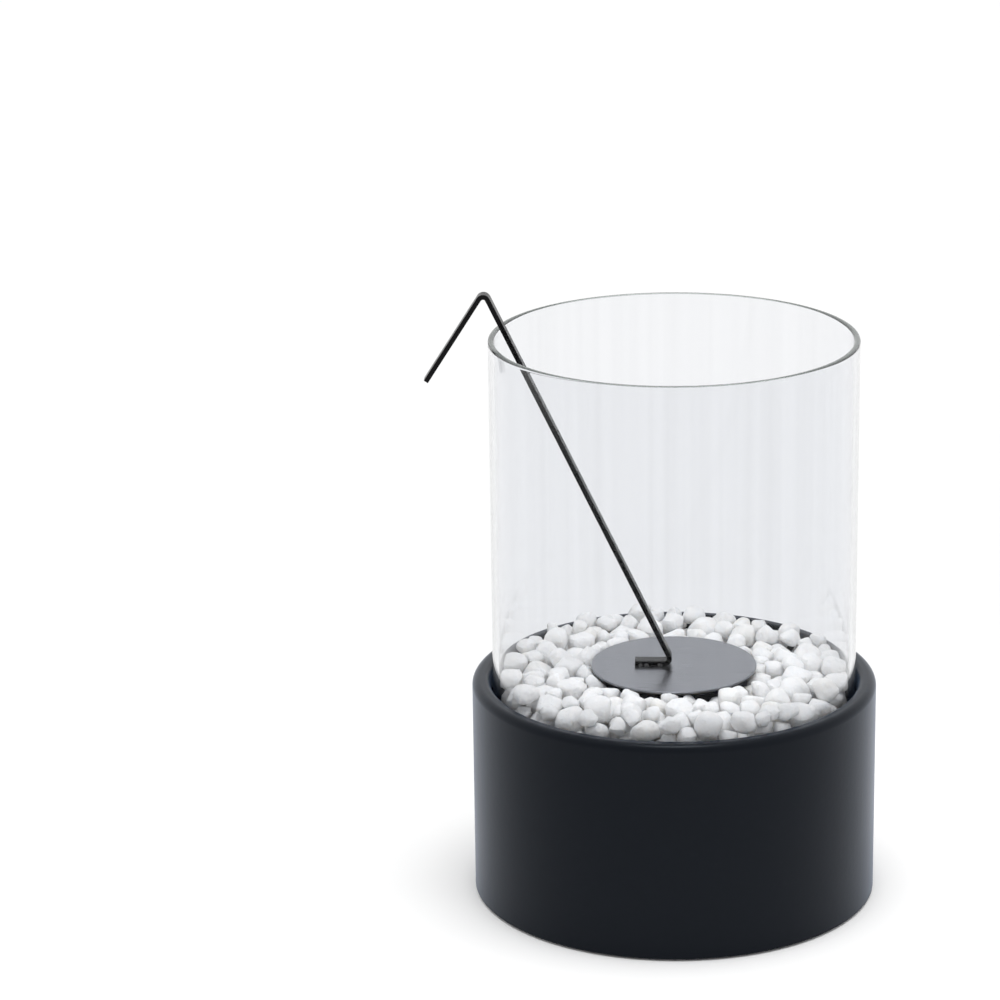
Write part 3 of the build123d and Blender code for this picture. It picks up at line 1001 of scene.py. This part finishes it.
class FIREPLACE_OT_studio(Operator):
    """Studio: pale floor, white surroundings that are dimmer in front, a softbox and the camera"""

    bl_idname = "fireplace.studio"
    bl_label = "Studio"

    def execute(self, context):
        scene = context.scene
        s = scene.fireplace_studio
        a = np.linspace(0.0, 2 * np.pi, FLOOR_SIDES, endpoint=False)
        rim = np.stack([np.cos(a), np.sin(a), np.zeros_like(a)], axis=1) * s.floor_radius
        floor = mesh_object("pale_floor", rim, [list(range(len(a)))], pale_floor)

        light = bpy.data.lights.new("softbox", "AREA")
        light.size = s.softbox_size
        light.energy = s.softbox_power
        light.spread = s.softbox_spread
        softbox = bpy.data.objects.new("softbox", light)
        softbox.location = s.softbox_place
        scene.collection.objects.link(softbox)

        self.surround(scene, s)
        self.look(scene, s)
        return {"FINISHED"}

    def surround(self, scene, s):
        """One white for the camera and through glass; other light falls off from the sky to the front."""
        world = bpy.data.worlds.new("white_studio")
        world.use_nodes = True
        scene.world = world
        nodes, link = world.node_tree.nodes, world.node_tree.links.new
        background = nodes["Background"]
        around = nodes.new("ShaderNodeTexCoord")
        along = nodes.new("ShaderNodeVectorMath")
        along.operation = "DOT_PRODUCT"
        along.inputs[1].default_value = (math.sin(s.sky_turn), math.cos(s.sky_turn), 0.0)
        level = nodes.new("ShaderNodeMapRange")
        level.interpolation_type = "SMOOTHSTEP"
        level.inputs["From Min"].default_value = FRONT_END
        level.inputs["From Max"].default_value = SKY_BEGIN
        level.inputs["To Min"].default_value = s.front
        level.inputs["To Max"].default_value = s.sky
        path = nodes.new("ShaderNodeLightPath")
        seen = nodes.new("ShaderNodeMath")
        seen.operation = "MAXIMUM"
        pick = nodes.new("ShaderNodeMix")
        pick.inputs["B"].default_value = s.through
        link(around.outputs["Generated"], along.inputs[0])
        link(along.outputs["Value"], level.inputs["Value"])
        link(path.outputs["Is Camera Ray"], seen.inputs[0])
        link(path.outputs["Is Transmission Ray"], seen.inputs[1])
        link(seen.outputs["Value"], pick.inputs["Factor"])
        link(level.outputs["Result"], pick.inputs["A"])
        link(pick.outputs["Result"], background.inputs["Color"])
        background.inputs["Strength"].default_value = 1.0

    def look(self, scene, s):
        """Camera from its yaw, pitch and roll; colours are shown as they are, without a film curve.

        The view goes along (sin yaw cos pitch, cos yaw cos pitch, -sin pitch). Right and up are its
        level and upright partners, turned about the view by the roll.
        """
        ahead = np.array(
            [
                math.sin(s.camera_yaw) * math.cos(s.camera_pitch),
                math.cos(s.camera_yaw) * math.cos(s.camera_pitch),
                -math.sin(s.camera_pitch),
            ]
        )
        right = np.cross(ahead, (0.0, 0.0, 1.0))
        right /= np.linalg.norm(right)
        up = np.cross(right, ahead)
        c, r = math.cos(s.camera_roll), math.sin(s.camera_roll)
        axes = np.stack([right * c + up * r, up * c - right * r, -ahead], axis=1)
        lens = bpy.data.cameras.new("camera")
        lens.lens = s.lens
        lens.sensor_width = SENSOR_WIDTH
        lens.clip_start = 0.01
        camera = bpy.data.objects.new("camera", lens)
        camera.matrix_world = Matrix.Translation(s.camera_place) @ Matrix(axes.tolist()).to_4x4()
        scene.collection.objects.link(camera)
        scene.camera = camera
        scene.view_settings.view_transform = "Standard"


PIECES = (
    FIREPLACE_OT_base_shell,
    FIREPLACE_OT_inner_sheets,
    FIREPLACE_OT_anti_slip_pad,
    FIREPLACE_OT_burner,
    FIREPLACE_OT_glass_cylinder,
    FIREPLACE_OT_pebbles,
    FIREPLACE_OT_snuffer_lid,
    FIREPLACE_OT_snuffer_handle,
    FIREPLACE_OT_studio,
)


class FIREPLACE_PT_sidebar(Panel):
    """Lists the pieces and the sizes and colours they are made from"""

    bl_idname = "FIREPLACE_PT_sidebar"
    bl_label = "Tabletop Fireplace"
    bl_space_type = "VIEW_3D"
    bl_region_type = "UI"
    bl_category = "Fireplace"

    def draw(self, context):
        for piece in PIECES:
            self.layout.operator(piece.bl_idname)
        for group, kind in GROUPS.items():
            box = self.layout.box()
            box.label(text=kind.__doc__)
            for name in kind.__annotations__:
                box.prop(getattr(context.scene, group), name)


def register():
    """Adds the groups of settings, the operators and the panel."""
    for group, kind in GROUPS.items():
        bpy.utils.register_class(kind)
        setattr(bpy.types.Scene, group, PointerProperty(type=kind))
    for kind in (*PIECES, FIREPLACE_PT_sidebar):
        bpy.utils.register_class(kind)


def unregister():
    """Takes the panel, the operators and the groups of settings away again."""
    for kind in reversed((*PIECES, FIREPLACE_PT_sidebar)):
        bpy.utils.unregister_class(kind)
    for group, kind in reversed(GROUPS.items()):
        delattr(bpy.types.Scene, group)
        bpy.utils.unregister_class(kind)


def main():
    """Makes every piece and the studio."""
    register()
    bpy.ops.fireplace.studio()
    bpy.ops.fireplace.base_shell()
    bpy.ops.fireplace.inner_sheets()
    bpy.ops.fireplace.anti_slip_pad()
    bpy.ops.fireplace.burner()
    bpy.ops.fireplace.glass_cylinder()
    bpy.ops.fireplace.pebbles()
    bpy.ops.fireplace.snuffer_lid()
    bpy.ops.fireplace.snuffer_handle()


if __name__ == "__main__":
    main()
